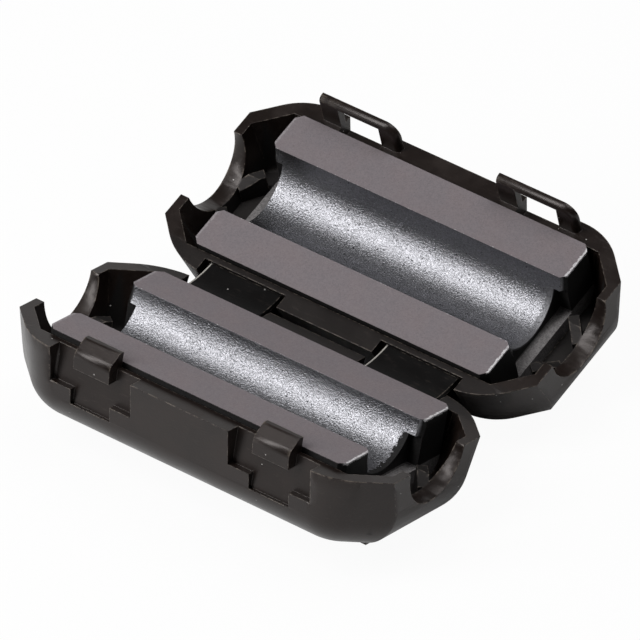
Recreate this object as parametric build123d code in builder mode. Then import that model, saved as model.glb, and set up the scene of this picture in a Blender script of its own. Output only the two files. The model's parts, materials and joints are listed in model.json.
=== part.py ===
from build123d import *
import os
from math import cos, radians, sin, tan

# An open clip-on ferrite bead: a moulded snap case in two hinged halves, each with half a ferrite core.
# Both halves are drawn lying flat: x runs along the cable, y runs out from the hinge line, and z is 0
# on the plane where the two cores meet when the case is shut. Each half is then turned up about the
# hinge line, so that the part stands as an open V on the rounded lower edges of its case.

# Pose of the open case
open_tilt = 14.63  # degrees, of each half, hinge side down

# Ferrite half-core
core_length = 28.9
core_width = 15.0
core_height = 6.7  # from the mating face to the back
core_air_gap = 0.06  # between the mating faces when the case is shut
core_base_bevel = 2.5  # along the two lower edges
core_corner_bevel = 0.55  # on the four upright corners
bore_radius = 3.66
bore_mouth_bevel = 0.45
core_pocket_length = 1.05  # pocket round the mouth of the bore, in from the end
core_pocket_lip = 1.45  # left under the mating face
core_pocket_side = 0.09  # pocket past the bore, at each side
core_pocket_foot = 0.64  # pocket below the bore

# Case, one half
end_space = 3.9  # end of the core to the outside of the case
side_wall = 1.9  # at the rim
floor_thickness = 1.22
wall_draft = 13.2  # degrees
corner_cut = 3.55  # across each corner of the rim
latch_side_round = 3.75  # along the bottom
hinge_side_round = 5.0
end_round = 4.4
round_margin = 0.15  # of a corner's radius over the round that runs along its foot
hinge_setback = 0.28  # hinge line to the outside of the rim
rim_drop = 0.5  # rim below the plane where the cores meet
end_wall = 0.8  # at the rim
core_clearance = 0.1
opening_clearance = 0.04  # of the cable opening in each end, past the bore
chamber_floor = 2.45  # under the hollow between the core and the end wall
chamber_draft = 12.0  # degrees
chamber_cut = 2.55
overrun = 1.2  # of a cut past the surface it opens

# Stiffening fins in each end, set in a V that points out under the cable opening
fin_thickness = 0.9
fin_length = 2.4
fin_spread = 4.2  # between the middles of the two fins
fin_height = 2.1
fin_turn = 50.0  # degrees from the length of the case

# Living hinge
strap_width = 7.0
strap_end_space = 5.75  # middle of the strap in from the end of the core
strap_thickness = 0.45
strap_drop = 0.3  # top of the strap below the rim, at the case
strap_sag = 0.17
hinge_notch_clearance = 0.5  # beside the strap
hinge_notch_depth = 1.35  # in from the outside of the rim
hinge_notch_height = 2.4  # down from the rim

# Catches of the base and the T-shaped recesses round them
latch_end_space = 5.7  # middle of a latch in from the end of the core
latch_wall = 0.5  # left between the recess and the core
recess_height = 3.2
recess_clearance = 0.175  # beside the loop
recess_slot_height = 4.6
recess_slot_clearance = 0.175  # beside the catch
catch_width = 3.5
catch_top = 1.35  # above the rim
catch_ridge = 0.4  # above the rim
catch_foot = 1.1  # below the rim
catch_reach = 1.22  # ridge out from the floor of the recess
catch_foot_reach = 1.0
catch_round = 0.75  # over the ridge
catch_top_round = 0.45

# Loops of the cover
loop_width = 7.6
loop_thickness = 0.65
loop_clearance = 0.12  # to the floor of the recess when shut
loop_play = 0.06  # under the foot of the catch when shut
loop_bar = 0.6
loop_window_clearance = 0.275  # beside the catch
loop_sill = 1.4  # below the rim
loop_corner_round = 1.3  # on one side only
loop_lead_round = 0.48  # along the inner edge of the top, to ride over the catch

# Gate mark left by moulding
gate_end_space = 3.35  # in from the end of the case
gate_offset = 3.1  # from the middle of the case
gate_length = 0.6
gate_width = 0.8
gate_drop = 0.3  # below the flat bottom

# Places that follow from the sizes above
rim = -rim_drop
mating_face = -core_air_gap / 2
bed_length = core_length + 2 * core_clearance
bed_width = core_width + 2 * core_clearance
bed_floor = mating_face - core_height
case_length = core_length + 2 * end_space
case_width = bed_width + 2 * side_wall
case_bottom = bed_floor - floor_thickness
case_depth = rim - case_bottom
case_middle = hinge_setback + case_width / 2
draft_inset = case_depth * tan(radians(wall_draft))
chamber_depth = case_depth - chamber_floor
opening_radius = bore_radius + opening_clearance
strap_pitch = core_length - 2 * strap_end_space
latch_pitch = core_length - 2 * latch_end_space
bed_outer_wall = case_middle + bed_width / 2
recess_floor = bed_outer_wall + latch_wall
recess_width = loop_width + 2 * recess_clearance
recess_slot_width = catch_width + 2 * recess_slot_clearance
notch_floor = hinge_setback + hinge_notch_depth
notch_width = strap_width + 2 * hinge_notch_clearance
loop_inside = recess_floor + loop_clearance
loop_window_width = catch_width + 2 * loop_window_clearance
loop_window_top = rim_drop + catch_foot + loop_play
loop_top = loop_window_top + loop_bar


def outside(side, side_round):
    """The outside of a half as its latch side (1) or its hinge side (-1) bounds it: drafted walls with
    cut corners, rounded along the bottom. It runs on past the case everywhere else."""
    with BuildPart() as form:
        with BuildSketch(Plane.XY.offset(rim)) as outline:
            with Locations((0, case_middle - side * case_width / 2)):
                Rectangle(case_length + 2 * overrun, 2 * case_width)
            chamfer(outline.vertices().sort_by(Axis.Y, reverse=side > 0)[0:2], corner_cut + overrun)
            corner_round = side_round + draft_inset + round_margin
            fillet(outline.vertices().sort_by(Axis.Y, reverse=side > 0)[0:2], corner_round)
        extrude(amount=-case_depth)
        draft(form.faces().filter_by(Axis.Z, reverse=True), Plane.XY.offset(rim), -wall_draft)
        foot = form.faces().sort_by(Axis.Z)[0].edges().filter_by(Axis.Y, reverse=True)
        fillet([edge for edge in foot if side * (edge.center().Y - case_middle) > 0], side_round)
    return form.part


def hollows():
    """The spaces between the core and the two end walls."""
    with BuildPart() as space:
        with BuildSketch(Plane.XY.offset(rim)) as outline:
            with Locations((0, case_middle)):
                Rectangle(case_length - 2 * end_wall, bed_width)
            chamfer(outline.vertices(), chamber_cut)
        extrude(amount=-chamber_depth)
        draft(space.faces().filter_by(Axis.Z, reverse=True), Plane.XY.offset(rim), -chamber_draft)
        with BuildSketch(Plane.XY.offset(rim)):
            with Locations((0, case_middle)):
                Rectangle(core_length, bed_width)
        extrude(amount=-chamber_depth, mode=Mode.SUBTRACT)
    return space.part


def half_shell():
    """What the two halves of the case share."""
    latch_side = outside(1, latch_side_round)
    hinge_side = outside(-1, hinge_side_round)
    end_hollows = hollows()
    with BuildPart() as half:
        add(latch_side)
        add(hinge_side, mode=Mode.INTERSECT)

        # Upright ends, rounded under
        with BuildSketch(Plane.XZ) as ends:
            with Locations((0, (rim + case_bottom) / 2)):
                Rectangle(case_length, case_depth)
            fillet(ends.vertices().group_by(Axis.Y)[0], end_round)
        extrude(amount=-2 * case_width, mode=Mode.INTERSECT)

        # Bed of the core
        with BuildSketch(Plane.YZ) as bed:
            with Locations((case_middle, (bed_floor + overrun) / 2)):
                Rectangle(bed_width, overrun - bed_floor)
            chamfer(bed.vertices().group_by(Axis.Y)[0], core_base_bevel)
        extrude(amount=bed_length / 2, both=True, mode=Mode.SUBTRACT)
        add(end_hollows, mode=Mode.SUBTRACT)

        # Fins in the hollows
        fin_middle = (case_length / 2 - end_wall + bed_length / 2) / 2
        with BuildSketch(Plane.XY.offset(rim - chamber_depth)):
            for end in (-1, 1):
                for side in (-1, 1):
                    with Locations((end * fin_middle, case_middle + side * fin_spread / 2)):
                        Rectangle(fin_length, fin_thickness, rotation=-end * side * fin_turn)
        extrude(amount=fin_height)

        # Half-round cable openings in the ends
        with BuildSketch(Plane.YZ):
            with Locations((case_middle, rim)):
                Circle(opening_radius)
        extrude(amount=case_length, both=True, mode=Mode.SUBTRACT)

        # Notches where the hinge straps join
        with BuildSketch(Plane.XY.offset(rim - hinge_notch_height)):
            with Locations((0, (notch_floor - overrun) / 2)):
                with GridLocations(strap_pitch, 0, 2, 1):
                    Rectangle(notch_width, notch_floor + overrun)
        extrude(amount=hinge_notch_height + overrun, mode=Mode.SUBTRACT)
    return half.part


with BuildPart() as base_flat:
    add(half_shell())

    # T-shaped recesses for the loops of the other half
    with BuildSketch(Plane.XZ.offset(-recess_floor)):
        with GridLocations(latch_pitch, 0, 2, 1):
            with Locations((0, rim - (recess_height - overrun) / 2)):
                Rectangle(recess_width, recess_height + overrun)
            with Locations((0, rim - (recess_slot_height - overrun) / 2)):
                Rectangle(recess_slot_width, recess_slot_height + overrun)
    extrude(amount=-case_width, mode=Mode.SUBTRACT)

    # Wedge-shaped catches on upright tabs
    for place in (-latch_pitch / 2, latch_pitch / 2):
        with BuildSketch(Plane.YZ.offset(place)) as wedge:
            with BuildLine():
                Polyline(
                    (bed_outer_wall, rim + catch_top),
                    (recess_floor, rim + catch_top),
                    (recess_floor + catch_reach, rim + catch_ridge),
                    (recess_floor + catch_foot_reach, rim - catch_foot),
                    (bed_outer_wall, rim - catch_foot),
                    close=True,
                )
            make_face()
            fillet(wedge.vertices().sort_by(Axis.X)[-1], catch_round)
            fillet(wedge.vertices().group_by(Axis.Y)[-1].sort_by(Axis.X)[-1], catch_top_round)
        extrude(amount=catch_width / 2, both=True)

    # Gate mark under one end
    with BuildSketch(Plane.XY.offset(case_bottom - gate_drop)):
        with Locations((gate_end_space - case_length / 2, case_middle + gate_offset)):
            Rectangle(gate_length, gate_width)
    extrude(amount=gate_drop + overrun)

with BuildPart() as cover_flat:
    add(half_shell())

    # Loops that snap over the catches
    for place in (-latch_pitch / 2, latch_pitch / 2):
        with BuildSketch(Plane.XZ.offset(-loop_inside)) as loop:
            with Locations((place, (loop_top + rim - overrun) / 2)):
                Rectangle(loop_width, loop_top - rim + overrun)
            fillet(loop.vertices().group_by(Axis.Y)[-1].sort_by(Axis.X)[-1], loop_corner_round)
        extrude(amount=-loop_thickness)
    lead_edges = cover_flat.edges().filter_by(Axis.X).group_by(Axis.Z)[-1].group_by(Axis.Y)[0]
    fillet(lead_edges, loop_lead_round)

    # Windows of the loops, running down into the wall of the case
    loop_window_sill = rim - loop_sill
    with BuildSketch(Plane.XZ.offset(-bed_outer_wall)):
        with GridLocations(latch_pitch, 0, 2, 1):
            with Locations((0, (loop_window_top + loop_window_sill) / 2)):
                Rectangle(loop_window_width, loop_window_top - loop_window_sill)
    extrude(amount=-case_width, mode=Mode.SUBTRACT)

with BuildPart() as core_flat:
    with BuildSketch(Plane.YZ) as block:
        with Locations((case_middle, mating_face - core_height / 2)):
            Rectangle(core_width, core_height)
        chamfer(block.vertices().group_by(Axis.Y)[0], core_base_bevel)
        with Locations((case_middle, mating_face)):
            Circle(bore_radius, mode=Mode.SUBTRACT)
    extrude(amount=core_length / 2, both=True)
    chamfer(core_flat.edges().filter_by(GeomType.CIRCLE), bore_mouth_bevel)
    chamfer(core_flat.edges().filter_by(Axis.Z), core_corner_bevel)

    # Pocket across the mouth of the bore at each end, under a lip
    core_pocket_depth = bore_radius + core_pocket_foot
    for end in (-1, 1):
        with BuildSketch(Plane.YZ.offset(end * (core_length / 2 - core_pocket_length))):
            with Locations((case_middle, mating_face - (core_pocket_lip + core_pocket_depth) / 2)):
                Rectangle(2 * (bore_radius + core_pocket_side), core_pocket_depth - core_pocket_lip)
        extrude(amount=end * (core_pocket_length + overrun), mode=Mode.SUBTRACT)


def stand(flat, side):
    """Turns a flat half up into the open V: the base to the front, the cover to the back."""
    turned = flat if side > 0 else flat.rotate(Axis.Z, 180)
    return turned.rotate(Axis.X, side * open_tilt)


def on_notch_floor(level):
    """Across and up: a point on the floor of the cover's hinge notches, once the case stands open."""
    tilt = radians(open_tilt)
    return (notch_floor * cos(tilt) - level * sin(tilt), notch_floor * sin(tilt) + level * cos(tilt))


with BuildPart() as strap:
    top = on_notch_floor(rim - strap_drop)
    bottom = on_notch_floor(rim - strap_drop - strap_thickness)
    with BuildSketch(Plane.YZ):
        with BuildLine():
            ThreePointArc((-top[0], top[1]), (0, top[1] - strap_sag), top)
            Line(top, bottom)
            ThreePointArc(bottom, (0, bottom[1] - strap_sag), (-bottom[0], bottom[1]))
            Line((-bottom[0], bottom[1]), (-top[0], top[1]))
        make_face()
    extrude(amount=strap_width / 2, both=True)

# The hinge line is lifted until the case stands on z = 0
base_shell = stand(base_flat.part, -1)
hinge_height = -base_shell.bounding_box().min.Z
nodes = {
    "base_shell": base_shell,
    "cover_shell": stand(cover_flat.part, 1),
    "base_core": stand(core_flat.part, -1),
    "cover_core": stand(core_flat.part, 1),
    "hinge_strap_left": Pos(-strap_pitch / 2, 0, 0) * strap.part,
    "hinge_strap_right": Pos(strap_pitch / 2, 0, 0) * strap.part,
}

os.makedirs("parts", exist_ok=True)
for name, shape in nodes.items():
    node = Pos(0, 0, hinge_height) * shape
    node.label = name
    export_step(node, f"parts/{name}.step")
    print(name, node.is_valid, len(node.solids()), node.bounding_box())
print("hinge line at height", hinge_height)
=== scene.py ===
import json
import math

import bmesh
import bpy
from mathutils import Euler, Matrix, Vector


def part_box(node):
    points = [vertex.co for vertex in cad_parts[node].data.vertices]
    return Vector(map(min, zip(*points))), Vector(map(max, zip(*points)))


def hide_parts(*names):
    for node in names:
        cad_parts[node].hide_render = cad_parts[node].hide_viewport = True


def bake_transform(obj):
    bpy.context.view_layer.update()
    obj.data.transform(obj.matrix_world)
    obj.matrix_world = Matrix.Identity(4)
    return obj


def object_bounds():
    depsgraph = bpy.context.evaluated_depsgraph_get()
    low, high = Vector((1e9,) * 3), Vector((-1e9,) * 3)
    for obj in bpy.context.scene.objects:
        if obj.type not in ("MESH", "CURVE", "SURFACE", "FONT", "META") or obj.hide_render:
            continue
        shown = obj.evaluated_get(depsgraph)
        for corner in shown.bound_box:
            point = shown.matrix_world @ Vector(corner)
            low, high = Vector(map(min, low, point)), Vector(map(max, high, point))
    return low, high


# Lengths are in metres, as in the frame. The materials measure in millimetres, in the frame of one
# flat half: x along the cable, y out from the hinge line, z up from the plane where the cores meet.
MM = 0.001
PER_METRE = 1000.0
BASE, COVER = -1, 1

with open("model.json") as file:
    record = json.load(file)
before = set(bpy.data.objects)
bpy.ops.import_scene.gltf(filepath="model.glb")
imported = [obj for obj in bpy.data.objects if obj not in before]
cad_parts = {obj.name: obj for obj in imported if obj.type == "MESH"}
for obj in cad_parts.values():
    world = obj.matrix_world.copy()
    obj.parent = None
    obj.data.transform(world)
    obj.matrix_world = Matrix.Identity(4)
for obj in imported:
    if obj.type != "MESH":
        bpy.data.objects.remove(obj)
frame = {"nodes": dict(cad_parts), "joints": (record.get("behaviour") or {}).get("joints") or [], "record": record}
cad_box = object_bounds()
lid = frame["joints"][0]
hinge_line = Vector(lid["pos_m"])
open_tilt = math.radians(180.0 - lid["range_deg"][1]) / 2

# Sizes of a half, in millimetres
bore = frame["record"]["mounts"][0]
BORE_RADIUS = bore["dims"]["r_mm"]
BORE_SIDE = abs(bore["pos_m"][1]) / MM / math.cos(open_tilt)
CORE_HALF_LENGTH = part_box("cover_core")[1].x / MM
CASE_HALF_LENGTH = cad_box[1][0] / MM
LEDGE_BELOW_BORE = 0.64
LEDGE_DEPTH = BORE_RADIUS + LEDGE_BELOW_BORE

# Places where a finish changes, each as the start and the end of a fade, in millimetres
HINGE_SIDE = (1.8, 2.8)
CHAMBER_START = (CORE_HALF_LENGTH - 0.25, CORE_HALF_LENGTH + 0.15)
CHAMBER_END = (CASE_HALF_LENGTH - 1.65, CASE_HALF_LENGTH - 1.35)
CHAMBER_SIDE = (6.0, 5.5)
CHAMBER_TOP = (-0.6, -0.8)
CHAMBER_FLOOR = (-6.1, -5.8)
ROUND_END = (CASE_HALF_LENGTH - 6.35, CASE_HALF_LENGTH - 4.85)
ROUND_SIDE = (4.2, 5.0)
ROUND_TOP = (-0.9, -1.6)
GROUND_FACE = (0.09, 0.14)
BORE_WALL = (BORE_RADIUS + 0.05, BORE_RADIUS + 0.25)
LEDGE_TOP = (LEDGE_DEPTH - 0.2, LEDGE_DEPTH - 0.1)
LEDGE_LENGTH = (1.3, 1.2)
# Where a ragged band of painted shade darkens the right mouth of the bore
MOUTH_SHADE_LENGTH = (0.88, 0.98)
MOUTH_SHADE_TOP = (1.50, 1.60)
LEFT_TO_RIGHT = (-1.0, 1.0)
END_CHIP_REACH = (-0.10, -0.04)
BORE_CHIP_REACH = (-0.31, -0.24)

# Colours of the nylon, as linear red, green, blue and alpha
WHITE = (1.0, 1.0, 1.0, 1.0)
CASE_BLACK = (0.0066, 0.0039, 0.0030, 1.0)
CASE_WORN = (0.0118, 0.0078, 0.0064, 1.0)
CASE_SHEEN = (1.0, 0.93, 0.91, 1.0)
# The strap's colours: painted shade, darker than the case's nylon.
STRAP_SHADED_BLACK = (0.0030, 0.0026, 0.0026, 1.0)
STRAP_SHADED_WORN = (0.0050, 0.0044, 0.0043, 1.0)
# Painted shade beside the hinge, between the two halves.
HINGE_SIDE_PAINTED_SHADE = (0.0020, 0.0017, 0.0017, 1.0)
# Painted shade inside the end chambers.
CHAMBER_PAINTED_SHADE = (0.0014, 0.0012, 0.0012, 1.0)
SCUFFED_NYLON = (0.042, 0.033, 0.029, 1.0)
RUBBED_NYLON = (0.200, 0.170, 0.142, 1.0)
# A painted highlight, laid as a pale line along one edge of each strap.
STRAP_EDGE_HIGHLIGHT = (0.42, 0.40, 0.37, 1.0)
DUST_ON_NYLON = (0.62, 0.60, 0.58, 1.0)

# Colours of the ferrite, a pair from the darkest to the palest crystal
ROSY_FACE = ((0.145, 0.123, 0.129, 1.0), (0.175, 0.150, 0.157, 1.0))
COOL_FACE = ((0.138, 0.122, 0.130, 1.0), (0.168, 0.148, 0.157, 1.0))
SILVER_BORE = ((0.150, 0.150, 0.159, 1.0), (0.226, 0.226, 0.240, 1.0))
# The sides: fired ferrite, darkened further as painted shade.
FIRED_SIDES_AND_SHADE = ((0.003, 0.003, 0.003, 1.0), (0.010, 0.009, 0.009, 1.0))
GREY_LEDGE = ((0.085, 0.080, 0.080, 1.0), (0.170, 0.162, 0.162, 1.0))
PIT_BLACK = (0.030, 0.030, 0.032, 1.0)
FRESH_CHIP = (0.52, 0.51, 0.52, 1.0)
DUST_ON_FERRITE = (0.42, 0.41, 0.41, 1.0)


def fill_sockets(tree, made, inputs):
    """Sets a node's inputs, each given as a plain value or as the socket that feeds it."""
    for name, value in inputs.items():
        if isinstance(value, bpy.types.NodeSocket):
            tree.links.new(value, made.inputs[name])
        else:
            made.inputs[name].default_value = value


def add_node(tree, kind, inputs=None, **settings):
    made = tree.nodes.new(kind)
    for name, value in settings.items():
        setattr(made, name, value)
    fill_sockets(tree, made, inputs or {})
    return made


def use_group(tree, group, inputs):
    return add_node(tree, "ShaderNodeGroup", inputs, node_tree=group).outputs


def math_node(tree, operation, first, second=0.0, third=0.0):
    made = add_node(tree, "ShaderNodeMath", {0: first, 1: second, 2: third}, operation=operation)
    return made.outputs[0]


def times(tree, *factors):
    product = factors[0]
    for factor in factors[1:]:
        product = math_node(tree, "MULTIPLY", product, factor)
    return product


def all_but(tree, mask):
    return math_node(tree, "SUBTRACT", 1.0, mask)


def gap_to(tree, value, place):
    """How far value is from place, to either side."""
    return math_node(tree, "ABSOLUTE", math_node(tree, "SUBTRACT", value, place))


def ramp(tree, value, start, end, low=0.0, high=1.0):
    """A smooth step of value from low at start to high at end."""
    sockets = {"Value": value, "From Min": start, "From Max": end, "To Min": low, "To Max": high}
    made = add_node(tree, "ShaderNodeMapRange", sockets, interpolation_type="SMOOTHSTEP")
    return made.outputs["Result"]


def mix_colour(tree, mask, first, second):
    return add_node(tree, "ShaderNodeMix", {0: mask, 6: first, 7: second}, data_type="RGBA").outputs[2]


def mix_value(tree, mask, first, second):
    return add_node(tree, "ShaderNodeMix", {0: mask, 2: first, 3: second}, data_type="FLOAT").outputs[0]


def split(tree, place):
    return add_node(tree, "ShaderNodeSeparateXYZ", {0: place}).outputs


def along(tree, place, way):
    """How far place lies in the direction of way."""
    made = add_node(tree, "ShaderNodeVectorMath", {0: place, 1: way}, operation="DOT_PRODUCT")
    return made.outputs["Value"]


def noise(tree, place, per_mm, detail, roughness):
    sockets = {"Vector": place, "Scale": per_mm, "Detail": detail, "Roughness": roughness}
    return add_node(tree, "ShaderNodeTexNoise", sockets).outputs["Fac"]


def scatter(tree, place, per_mm):
    """Cells strewn at random: the distance to the middle of each, and three random values of its own."""
    cells = add_node(tree, "ShaderNodeTexVoronoi", {"Vector": place, "Scale": per_mm, "Randomness": 1.0})
    values = add_node(tree, "ShaderNodeSeparateColor", {0: cells.outputs["Color"]})
    return cells.outputs["Distance"], values.outputs


def new_group(name, inputs, outputs):
    """An empty shader node group with its sockets: inputs as (name, default), outputs as names."""
    tree = bpy.data.node_groups.new(name, "ShaderNodeTree")
    for label, default in inputs:
        kind = "NodeSocketVector" if default is None else "NodeSocketFloat"
        socket = tree.interface.new_socket(label, in_out="INPUT", socket_type=kind)
        if default is not None:
            socket.default_value = default
    for label in outputs:
        tree.interface.new_socket(label, in_out="OUTPUT", socket_type="NodeSocketFloat")
    return tree, tree.nodes.new("NodeGroupInput").outputs, tree.nodes.new("NodeGroupOutput").inputs


def grain_group():
    """Fine pitted grain: a height, a mask of the deepest pits, and a brightness for each crystal."""
    deepest_hollows = (0.355, 0.29)
    pit_share = 0.35
    inputs = [("Place", None), ("Grain per mm", 6.0), ("Pits per mm", 2.5)]
    tree, given, result = new_group("fine_grain", inputs, ["Height", "Pits", "Crystals"])
    grain = noise(tree, given["Place"], given["Grain per mm"], detail=1.0, roughness=0.6)
    hollows = noise(tree, given["Place"], given["Pits per mm"], detail=2.0, roughness=0.7)
    pits = ramp(tree, hollows, *deepest_hollows)
    _, drawn = scatter(tree, given["Place"], given["Grain per mm"])
    tree.links.new(math_node(tree, "MULTIPLY_ADD", pits, -pit_share, grain), result["Height"])
    tree.links.new(pits, result["Pits"])
    tree.links.new(drawn[0], result["Crystals"])
    return tree


def dust_group():
    """Sparse pale specks of dust, each a fraction of a millimetre across."""
    smallest, size_range = 0.03, 0.06
    faintest, strength_range = 0.3, 0.7
    inputs = [("Place", None), ("Specks per mm", 0.9), ("Share", 0.1)]
    tree, given, result = new_group("dust_specks", inputs, ["Mask"])
    distance, drawn = scatter(tree, given["Place"], given["Specks per mm"])
    chosen = math_node(tree, "LESS_THAN", drawn[0], given["Share"])
    size = math_node(tree, "MULTIPLY_ADD", drawn[1], size_range, smallest)
    near = math_node(tree, "LESS_THAN", distance, size)
    strength = math_node(tree, "MULTIPLY_ADD", drawn[2], strength_range, faintest)
    tree.links.new(times(tree, near, chosen, strength), result["Mask"])
    return tree


def smudge_group():
    """Broad uneven patches, and fine scuffs drawn out along the length."""
    lengthwise = (0.5, 2.4, 2.4)
    patch_levels = (0.35, 0.70)
    scuff_levels = (0.56, 0.74)
    tree, given, result = new_group("handling_smudges", [("Place", None)], ["Patches", "Scuffs"])
    patches = noise(tree, given["Place"], per_mm=0.35, detail=3.0, roughness=0.55)
    drawn = add_node(tree, "ShaderNodeMapping", {"Vector": given["Place"], "Scale": lengthwise})
    scuffs = noise(tree, drawn.outputs[0], per_mm=1.5, detail=4.0, roughness=0.7)
    tree.links.new(ramp(tree, patches, *patch_levels), result["Patches"])
    tree.links.new(ramp(tree, scuffs, *scuff_levels), result["Scuffs"])
    return tree


def edge_group():
    """Outward edges, as far in as the given reach, patchy where handling has rubbed them unevenly."""
    turned_away = (0.995, 0.92)
    open_around = (0.72, 0.92)
    break_levels = (0.44, 0.58)
    look_around = {"Distance": 0.5 * MM}
    inputs = [("Place", None), ("Reach", 0.1 * MM), ("Breaks per mm", 2.0)]
    tree, given, result = new_group("rubbed_edges", inputs, ["Mask"])
    rounded = add_node(tree, "ShaderNodeBevel", {"Radius": given["Reach"]}, samples=6).outputs[0]
    flat = add_node(tree, "ShaderNodeNewGeometry").outputs["True Normal"]
    edge = ramp(tree, along(tree, rounded, flat), *turned_away)
    around = add_node(tree, "ShaderNodeAmbientOcclusion", look_around, samples=6, only_local=True)
    outward = ramp(tree, around.outputs["AO"], *open_around)
    breaks = noise(tree, given["Place"], given["Breaks per mm"], detail=3.0, roughness=0.65)
    tree.links.new(times(tree, edge, outward, ramp(tree, breaks, *break_levels)), result["Mask"])
    return tree


GRAIN = grain_group()
DUST = dust_group()
SMUDGES = smudge_group()
EDGES = edge_group()


def new_material(name):
    material = bpy.data.materials.new(name)
    material.use_nodes = True
    return material, material.node_tree, material.node_tree.nodes["Principled BSDF"]


def place_in_half(tree, side):
    """Millimetres in the frame of the flat base or cover, from the mesh's own coordinates."""
    turn = Euler((-side * open_tilt, 0.0, 0.0 if side == COVER else math.pi))
    sockets = {
        "Vector": add_node(tree, "ShaderNodeTexCoord").outputs["Object"],
        "Location": -(turn.to_matrix() @ hinge_line) / MM,
        "Rotation": turn,
        "Scale": (PER_METRE, PER_METRE, PER_METRE),
    }
    return add_node(tree, "ShaderNodeMapping", sockets, vector_type="POINT").outputs[0]


def painted_edge_highlight(tree):
    """A painted highlight: a narrow pale line along one edge of a strap, placed by shares of its width."""
    strength = 0.8
    start_shares = (0.001, 0.006)
    end_shares = (0.012, 0.026)
    across = split(tree, add_node(tree, "ShaderNodeTexCoord").outputs["Generated"])["X"]
    return times(tree, ramp(tree, across, *start_shares), ramp(tree, across, *end_shares, strength, 0.0))


def moulded_nylon(name, side, is_strap=False):
    """Black nylon as moulded: satin, a little uneven, dusty, and rubbed pale along its edges, with painted shade
    in the end chambers and beside the hinge.
    The strap version is darker all over as painted shade, and has a painted highlight along one edge."""
    # The strap's darker colours are painted shade
    black, worn = (STRAP_SHADED_BLACK, STRAP_SHADED_WORN) if is_strap else (CASE_BLACK, CASE_WORN)
    scuff_share, rubbed_share = 0.35, 0.55
    hinge_painted_shade_share, hinge_side_dull_share = 0.7, 0.3
    smooth, satin, dull, scuff_roughness = 0.31, 0.39, 0.65, 0.14
    edge_round, corner_round = 0.07 * MM, 1.0 * MM
    material, tree, shader = new_material(name)
    place = place_in_half(tree, side)
    axes = split(tree, place)
    grain = use_group(tree, GRAIN, {"Place": place, "Grain per mm": 7.0, "Pits per mm": 1.6})
    smudges = use_group(tree, SMUDGES, {"Place": place})
    dust = use_group(tree, DUST, {"Place": place, "Specks per mm": 1.2, "Share": 0.15})
    edges = use_group(tree, EDGES, {"Place": place, "Reach": 0.14 * MM, "Breaks per mm": 1.9})
    from_bore = gap_to(tree, axes["Y"], BORE_SIDE)
    from_middle = math_node(tree, "ABSOLUTE", axes["X"])

    # Inside of the chambers between the core and the ends of the case
    in_chamber = times(
        tree,
        ramp(tree, from_middle, *CHAMBER_START),
        ramp(tree, from_middle, *CHAMBER_END, 1.0, 0.0),
        ramp(tree, from_bore, *CHAMBER_SIDE),
        ramp(tree, axes["Z"], *CHAMBER_TOP),
        ramp(tree, axes["Z"], *CHAMBER_FLOOR),
    )

    # Colour, darkest in the chambers and beside the hinge, where shade is painted in
    colour = mix_colour(tree, smudges["Patches"], black, worn)
    # Painted shade beside the hinge
    dark = ramp(tree, axes["Y"], *HINGE_SIDE, hinge_painted_shade_share, 0.0)
    colour = mix_colour(tree, dark, colour, HINGE_SIDE_PAINTED_SHADE)
    colour = mix_colour(tree, times(tree, smudges["Scuffs"], scuff_share), colour, SCUFFED_NYLON)
    # Painted shade inside the chambers
    colour = mix_colour(tree, in_chamber, colour, CHAMBER_PAINTED_SHADE)
    colour = mix_colour(tree, times(tree, edges["Mask"], rubbed_share), colour, RUBBED_NYLON)
    colour = mix_colour(tree, dust["Mask"], colour, DUST_ON_NYLON)
    # A painted highlight along one edge of the strap
    if is_strap:
        colour = mix_colour(tree, painted_edge_highlight(tree), colour, STRAP_EDGE_HIGHLIGHT)
    tree.links.new(colour, shader.inputs["Base Color"])

    # Duller where the tool was not polished: in the chambers and beside the hinge
    unpolished = ramp(tree, axes["Y"], *HINGE_SIDE, hinge_side_dull_share, 0.0)
    unpolished = math_node(tree, "MAXIMUM", in_chamber, unpolished)
    roughness = mix_value(tree, smudges["Patches"], smooth, satin)
    roughness = mix_value(tree, unpolished, roughness, dull)
    roughness = math_node(tree, "MULTIPLY_ADD", smudges["Scuffs"], scuff_roughness, roughness)
    tree.links.new(roughness, shader.inputs["Roughness"])

    # The outer corners of the ends are rounder than the rest
    corner = times(
        tree,
        ramp(tree, from_middle, *ROUND_END),
        ramp(tree, from_bore, *ROUND_SIDE),
        ramp(tree, axes["Z"], *ROUND_TOP),
    )
    radius = mix_value(tree, corner, edge_round, corner_round)
    moulded_round = add_node(tree, "ShaderNodeBevel", {"Radius": radius}, samples=8).outputs[0]
    bump = {"Height": grain["Height"], "Strength": 0.5, "Distance": 0.012 * MM, "Normal": moulded_round}
    tree.links.new(add_node(tree, "ShaderNodeBump", bump).outputs[0], shader.inputs["Normal"])
    shader.inputs["Specular IOR Level"].default_value = 0.15 if is_strap else 0.37
    shader.inputs["Specular Tint"].default_value = WHITE if is_strap else CASE_SHEEN
    return material


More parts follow.
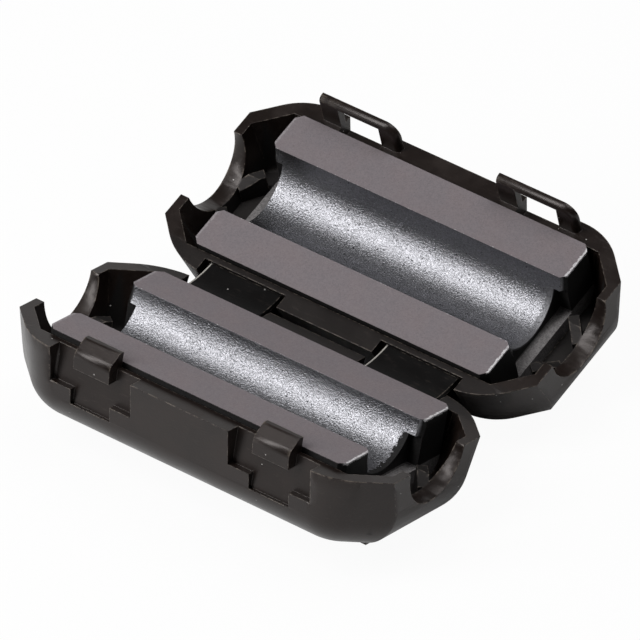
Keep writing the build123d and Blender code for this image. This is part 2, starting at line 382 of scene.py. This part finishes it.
def sintered_ferrite(name, side, mouth_shade_share):
    """Ferrite: a matt ground mating face, a bright pitted bore, dark fired sides that are darkened further as
    painted shade, and chipped edges.
    The last argument is the share of a ragged band of painted shade round the right mouth of the bore."""
    face_wander, mouth_wander, chip_wander = 0.10, 1.4, 0.50
    left_chip_share, bore_chip_share = 0.2, 0.8
    chipped_crystals, faintest_chip = (0.0, 0.6), 0.4
    matt, polished = 0.70, 0.29
    face_grain_share = 0.12
    material, tree, shader = new_material(name)
    place = place_in_half(tree, side)
    axes = split(tree, place)
    grain = use_group(tree, GRAIN, {"Place": place, "Grain per mm": 10.0, "Pits per mm": 4.2})
    dust = use_group(tree, DUST, {"Place": place, "Specks per mm": 1.4, "Share": 0.03})
    smudges = use_group(tree, SMUDGES, {"Place": place})
    fleck = grain["Crystals"]
    bites = noise(tree, place, per_mm=3.0, detail=3.0, roughness=0.7)

    # Distances below the mating face, from the axis of the bore, in from the end, and to the right
    depth = times(tree, axes["Z"], -1.0)
    across = math_node(tree, "SUBTRACT", axes["Y"], BORE_SIDE)
    from_axis = add_node(tree, "ShaderNodeCombineXYZ", {"Y": across, "Z": axes["Z"]}).outputs[0]
    radius = add_node(tree, "ShaderNodeVectorMath", {0: from_axis}, operation="LENGTH").outputs["Value"]
    end_gap = math_node(tree, "SUBTRACT", CORE_HALF_LENGTH, math_node(tree, "ABSOLUTE", axes["X"]))
    to_right = times(tree, axes["X"], side)

    # Ground face, bore, and a ragged band of painted shade in the right mouth of the bore
    ragged_depth = math_node(tree, "MULTIPLY_ADD", grain["Height"], face_wander, depth)
    face = ramp(tree, ragged_depth, *GROUND_FACE, 1.0, 0.0)
    in_bore = ramp(tree, radius, *BORE_WALL, 1.0, 0.0)
    from_mouth = math_node(tree, "MULTIPLY_ADD", bites, -mouth_wander, end_gap)
    mouth_shade = times(
        tree,
        ramp(tree, from_mouth, *MOUTH_SHADE_LENGTH, mouth_shade_share, 0.0),
        ramp(tree, to_right, *LEFT_TO_RIGHT),
        ramp(tree, ragged_depth, *MOUTH_SHADE_TOP),
    )
    bright = times(tree, in_bore, all_but(tree, face), all_but(tree, mouth_shade))

    # Chips along the end edges of the face, most at the right, and finer ones along the bore
    end_edge = math_node(tree, "MAXIMUM", end_gap, depth)
    end_edge = math_node(tree, "MULTIPLY_ADD", bites, -chip_wander, end_edge)
    bore_edge = math_node(tree, "MAXIMUM", gap_to(tree, radius, BORE_RADIUS), depth)
    bore_edge = math_node(tree, "MULTIPLY_ADD", bites, -chip_wander, bore_edge)
    at_end = times(
        tree,
        ramp(tree, end_edge, *END_CHIP_REACH, 1.0, 0.0),
        ramp(tree, to_right, *LEFT_TO_RIGHT, left_chip_share, 1.0),
    )
    at_bore = ramp(tree, bore_edge, *BORE_CHIP_REACH, bore_chip_share, 0.0)
    sparkle = ramp(tree, fleck, *chipped_crystals, faintest_chip, 1.0)
    chips = times(tree, math_node(tree, "MAXIMUM", at_end, at_bore), sparkle)

    # Colours of each
    rosy = mix_colour(tree, fleck, *ROSY_FACE)
    cool = mix_colour(tree, fleck, *COOL_FACE)
    ground = mix_colour(tree, smudges["Patches"], cool, rosy)
    silver = mix_colour(tree, fleck, *SILVER_BORE)
    silver = mix_colour(tree, grain["Pits"], silver, PIT_BLACK)
    on_ledge = times(tree, ramp(tree, depth, *LEDGE_TOP), ramp(tree, end_gap, *LEDGE_LENGTH))
    # Sides partly painted shade, darker than fired ferrite
    sides = mix_colour(tree, fleck, *FIRED_SIDES_AND_SHADE)
    ledge = mix_colour(tree, fleck, *GREY_LEDGE)
    fired = mix_colour(tree, on_ledge, sides, ledge)
    colour = mix_colour(tree, face, mix_colour(tree, bright, fired, silver), ground)
    colour = mix_colour(tree, chips, colour, FRESH_CHIP)
    colour = mix_colour(tree, dust["Mask"], colour, DUST_ON_FERRITE)
    tree.links.new(colour, shader.inputs["Base Color"])
    tree.links.new(bright, shader.inputs["Metallic"])
    tree.links.new(mix_value(tree, bright, matt, polished), shader.inputs["Roughness"])
    height = times(tree, grain["Height"], mix_value(tree, bright, face_grain_share, 1.0))
    bump = {"Height": height, "Strength": 1.0, "Distance": 0.038 * MM}
    tree.links.new(add_node(tree, "ShaderNodeBump", bump).outputs[0], shader.inputs["Normal"])
    shader.inputs["Specular IOR Level"].default_value = 0.25
    return material


def dress(node, material):
    """Gives a CAD node its material."""
    node.data.materials.clear()
    node.data.materials.append(material)


def soften_edges(node):
    """Small moulded radius on the sharp edges of a CAD node."""
    weld = node.modifiers.new("weld", "WELD")
    weld.merge_threshold = 0.001 * MM
    bevel = node.modifiers.new("edge_round", "BEVEL")
    bevel.width = 0.09 * MM
    bevel.segments = 2
    bevel.limit_method = "ANGLE"
    bevel.angle_limit = math.radians(30)
    bevel.harden_normals = True


def hinge_strap(name, nylon):
    """A thin strap, sagging a little and slanted at its ends to the tilt of the halves, in the place of its CAD
    solid.
    """
    low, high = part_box(name)
    sag = 0.17 * MM
    thickness = 0.45 * MM
    lean = math.tan(open_tilt) * thickness
    rows = 32
    shape = bmesh.new()
    loops = []
    for row in range(rows + 1):
        share = 2.0 * row / rows - 1.0
        dip = sag * (1.0 - share * share)
        top = (share * (high.y - lean), high.z - dip)
        bottom = (share * high.y, low.z + sag - dip)
        corners = [(low.x, *top), (high.x, *top), (high.x, *bottom), (low.x, *bottom)]
        loops.append([shape.verts.new(corner) for corner in corners])
    for before, after in zip(loops, loops[1:]):
        for here in range(len(before)):
            beside = (here + 1) % len(before)
            shape.faces.new((before[here], before[beside], after[beside], after[here]))
    shape.faces.new(loops[0][::-1])
    shape.faces.new(loops[-1])
    bmesh.ops.recalc_face_normals(shape, faces=shape.faces)
    mesh = bpy.data.meshes.new(name + "_band")
    shape.to_mesh(mesh)
    shape.free()
    mesh.materials.append(nylon)
    strap = bpy.data.objects.new(name + "_band", mesh)
    bpy.context.scene.collection.objects.link(strap)
    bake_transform(strap)
    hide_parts(name)


dress(frame["nodes"]["base_shell"], moulded_nylon("base_nylon", BASE))
dress(frame["nodes"]["cover_shell"], moulded_nylon("cover_nylon", COVER))
# A ragged band of painted shade in each core's right bore mouth, strongest in the base
dress(frame["nodes"]["base_core"], sintered_ferrite("base_ferrite", BASE, mouth_shade_share=1.0))
dress(frame["nodes"]["cover_core"], sintered_ferrite("cover_ferrite", COVER, mouth_shade_share=0.35))
strap_nylon = moulded_nylon("strap_nylon", BASE, is_strap=True)
for strap_name in ("hinge_strap_left", "hinge_strap_right"):
    hinge_strap(strap_name, strap_nylon)
for shell_name in ("base_shell", "cover_shell"):
    soften_edges(frame["nodes"][shell_name])

# Photograph's view, in radians, metres and, for the lens and the sensor, millimetres
VIEW_AZIMUTH = math.radians(36.20)
VIEW_ELEVATION = math.radians(39.53)
VIEW_DISTANCE = 0.870
LENS = 615.2
SENSOR_WIDTH = 36.0
AIM_ABOVE_HINGE = 0.00021
AIM_RIGHT = -0.000056
AIM_UP = 0.000485
middle_of_hinge = Vector((0.0, 0.0, hinge_line.z + AIM_ABOVE_HINGE))


def way_to(azimuth, elevation):
    """The direction of a camera or lamp at this azimuth and elevation, in radians."""
    level = math.cos(elevation)
    return Vector((math.sin(azimuth) * level, -math.cos(azimuth) * level, math.sin(elevation)))


def set_up(name, data, place, facing):
    """Puts a camera or lamp in the scene with its back along facing."""
    holder = bpy.data.objects.new(name, data)
    holder.location = place
    holder.rotation_euler = facing.to_track_quat("Z", "Y").to_euler()
    bpy.context.scene.collection.objects.link(holder)
    return holder


def photo_camera():
    """Camera at the photograph's angle."""
    toward_camera = way_to(VIEW_AZIMUTH, VIEW_ELEVATION)
    image_right = Vector((math.cos(VIEW_AZIMUTH), math.sin(VIEW_AZIMUTH), 0.0))
    image_up = toward_camera.cross(image_right)
    aim = middle_of_hinge + AIM_RIGHT * image_right + AIM_UP * image_up
    camera = bpy.data.cameras.new("camera")
    camera.lens = LENS
    camera.sensor_width = SENSOR_WIDTH
    camera.clip_start = 0.01
    camera.clip_end = 20.0
    return set_up("camera", camera, aim + VIEW_DISTANCE * toward_camera, toward_camera)


def softbox(name, azimuth, elevation, distance, width, height, radiance):
    """An upright area lamp of even brightness, aimed at the middle of the object."""
    lamp = bpy.data.lights.new(name, "AREA")
    lamp.shape = "RECTANGLE"
    lamp.size = width
    lamp.size_y = height
    lamp.energy = radiance * math.pi * width * height
    way = way_to(math.radians(azimuth), math.radians(elevation))
    set_up(name, lamp, middle_of_hinge + distance * way, way)


def dim_studio():
    """A dim white world, a little brighter over the left."""
    brightest_way = (-0.75, 0.0, 0.66)
    brightening = (-0.6, 0.9)
    dim, brightest = 0.04, 0.10
    world = bpy.data.worlds.new("studio")
    world.use_nodes = True
    sky = world.node_tree
    background = sky.nodes["Background"].inputs
    bearing = add_node(sky, "ShaderNodeTexCoord").outputs["Generated"]
    to_left = along(sky, bearing, brightest_way)
    sky.links.new(ramp(sky, to_left, *brightening, dim, brightest), background["Strength"])
    background["Color"].default_value = WHITE
    return world


def pale_floor_paint():
    """Pale paint that is seen as nearly white and keeps a light shadow. Glossy things mirror it
    brightly at the left, weakly at the right, and not at all under the hinge."""
    white_share = 0.95
    left_share, right_share = 0.95, 0.10
    right_way = (0.8, 0.6, 0.0)
    right_fade = (-0.010, 0.018)
    hinge_fade = (0.004, 0.011)
    material, tree, shader = new_material("pale_floor")
    shader.inputs["Base Color"].default_value = (0.72, 0.72, 0.72, 1.0)
    shader.inputs["Roughness"].default_value = 0.9
    ray = tree.nodes.new("ShaderNodeLightPath").outputs
    seen = math_node(tree, "MAXIMUM", ray["Is Camera Ray"], ray["Is Transmission Ray"])
    place = add_node(tree, "ShaderNodeTexCoord").outputs["Object"]
    glow = ramp(tree, along(tree, place, right_way), *right_fade, left_share, right_share)
    from_hinge = math_node(tree, "ABSOLUTE", split(tree, place)["Y"])
    mirrored = times(tree, ray["Is Glossy Ray"], glow, ramp(tree, from_hinge, *hinge_fade))
    whiteness = math_node(tree, "MULTIPLY_ADD", seen, white_share, mirrored)
    white = add_node(tree, "ShaderNodeEmission", {"Color": WHITE, "Strength": 1.0})
    layers = {0: whiteness, 1: shader.outputs[0], 2: white.outputs[0]}
    surface = add_node(tree, "ShaderNodeMixShader", layers).outputs[0]
    tree.links.new(surface, tree.nodes["Material Output"].inputs["Surface"])
    return material


def pale_floor():
    half = 3.0
    corners = [(-half, -half, 0.0), (half, -half, 0.0), (half, half, 0.0), (-half, half, 0.0)]
    mesh = bpy.data.meshes.new("floor")
    mesh.from_pydata(corners, [], [(0, 1, 2, 3)])
    mesh.materials.append(pale_floor_paint())
    floor = bpy.data.objects.new("floor", mesh)
    bpy.context.scene.collection.objects.link(floor)


bpy.context.scene.camera = photo_camera()
softbox("key_softbox", -38.0, 44.5, distance=0.30, width=0.10, height=0.34, radiance=9.6)
softbox("overhead_softbox", 148.0, 66.0, distance=0.45, width=0.30, height=0.30, radiance=3.1)
softbox("back_panel", 208.0, 15.0, distance=0.60, width=0.45, height=0.28, radiance=0.7)
bpy.context.scene.world = dim_studio()
pale_floor()

bpy.context.scene.view_settings.view_transform = "Standard"
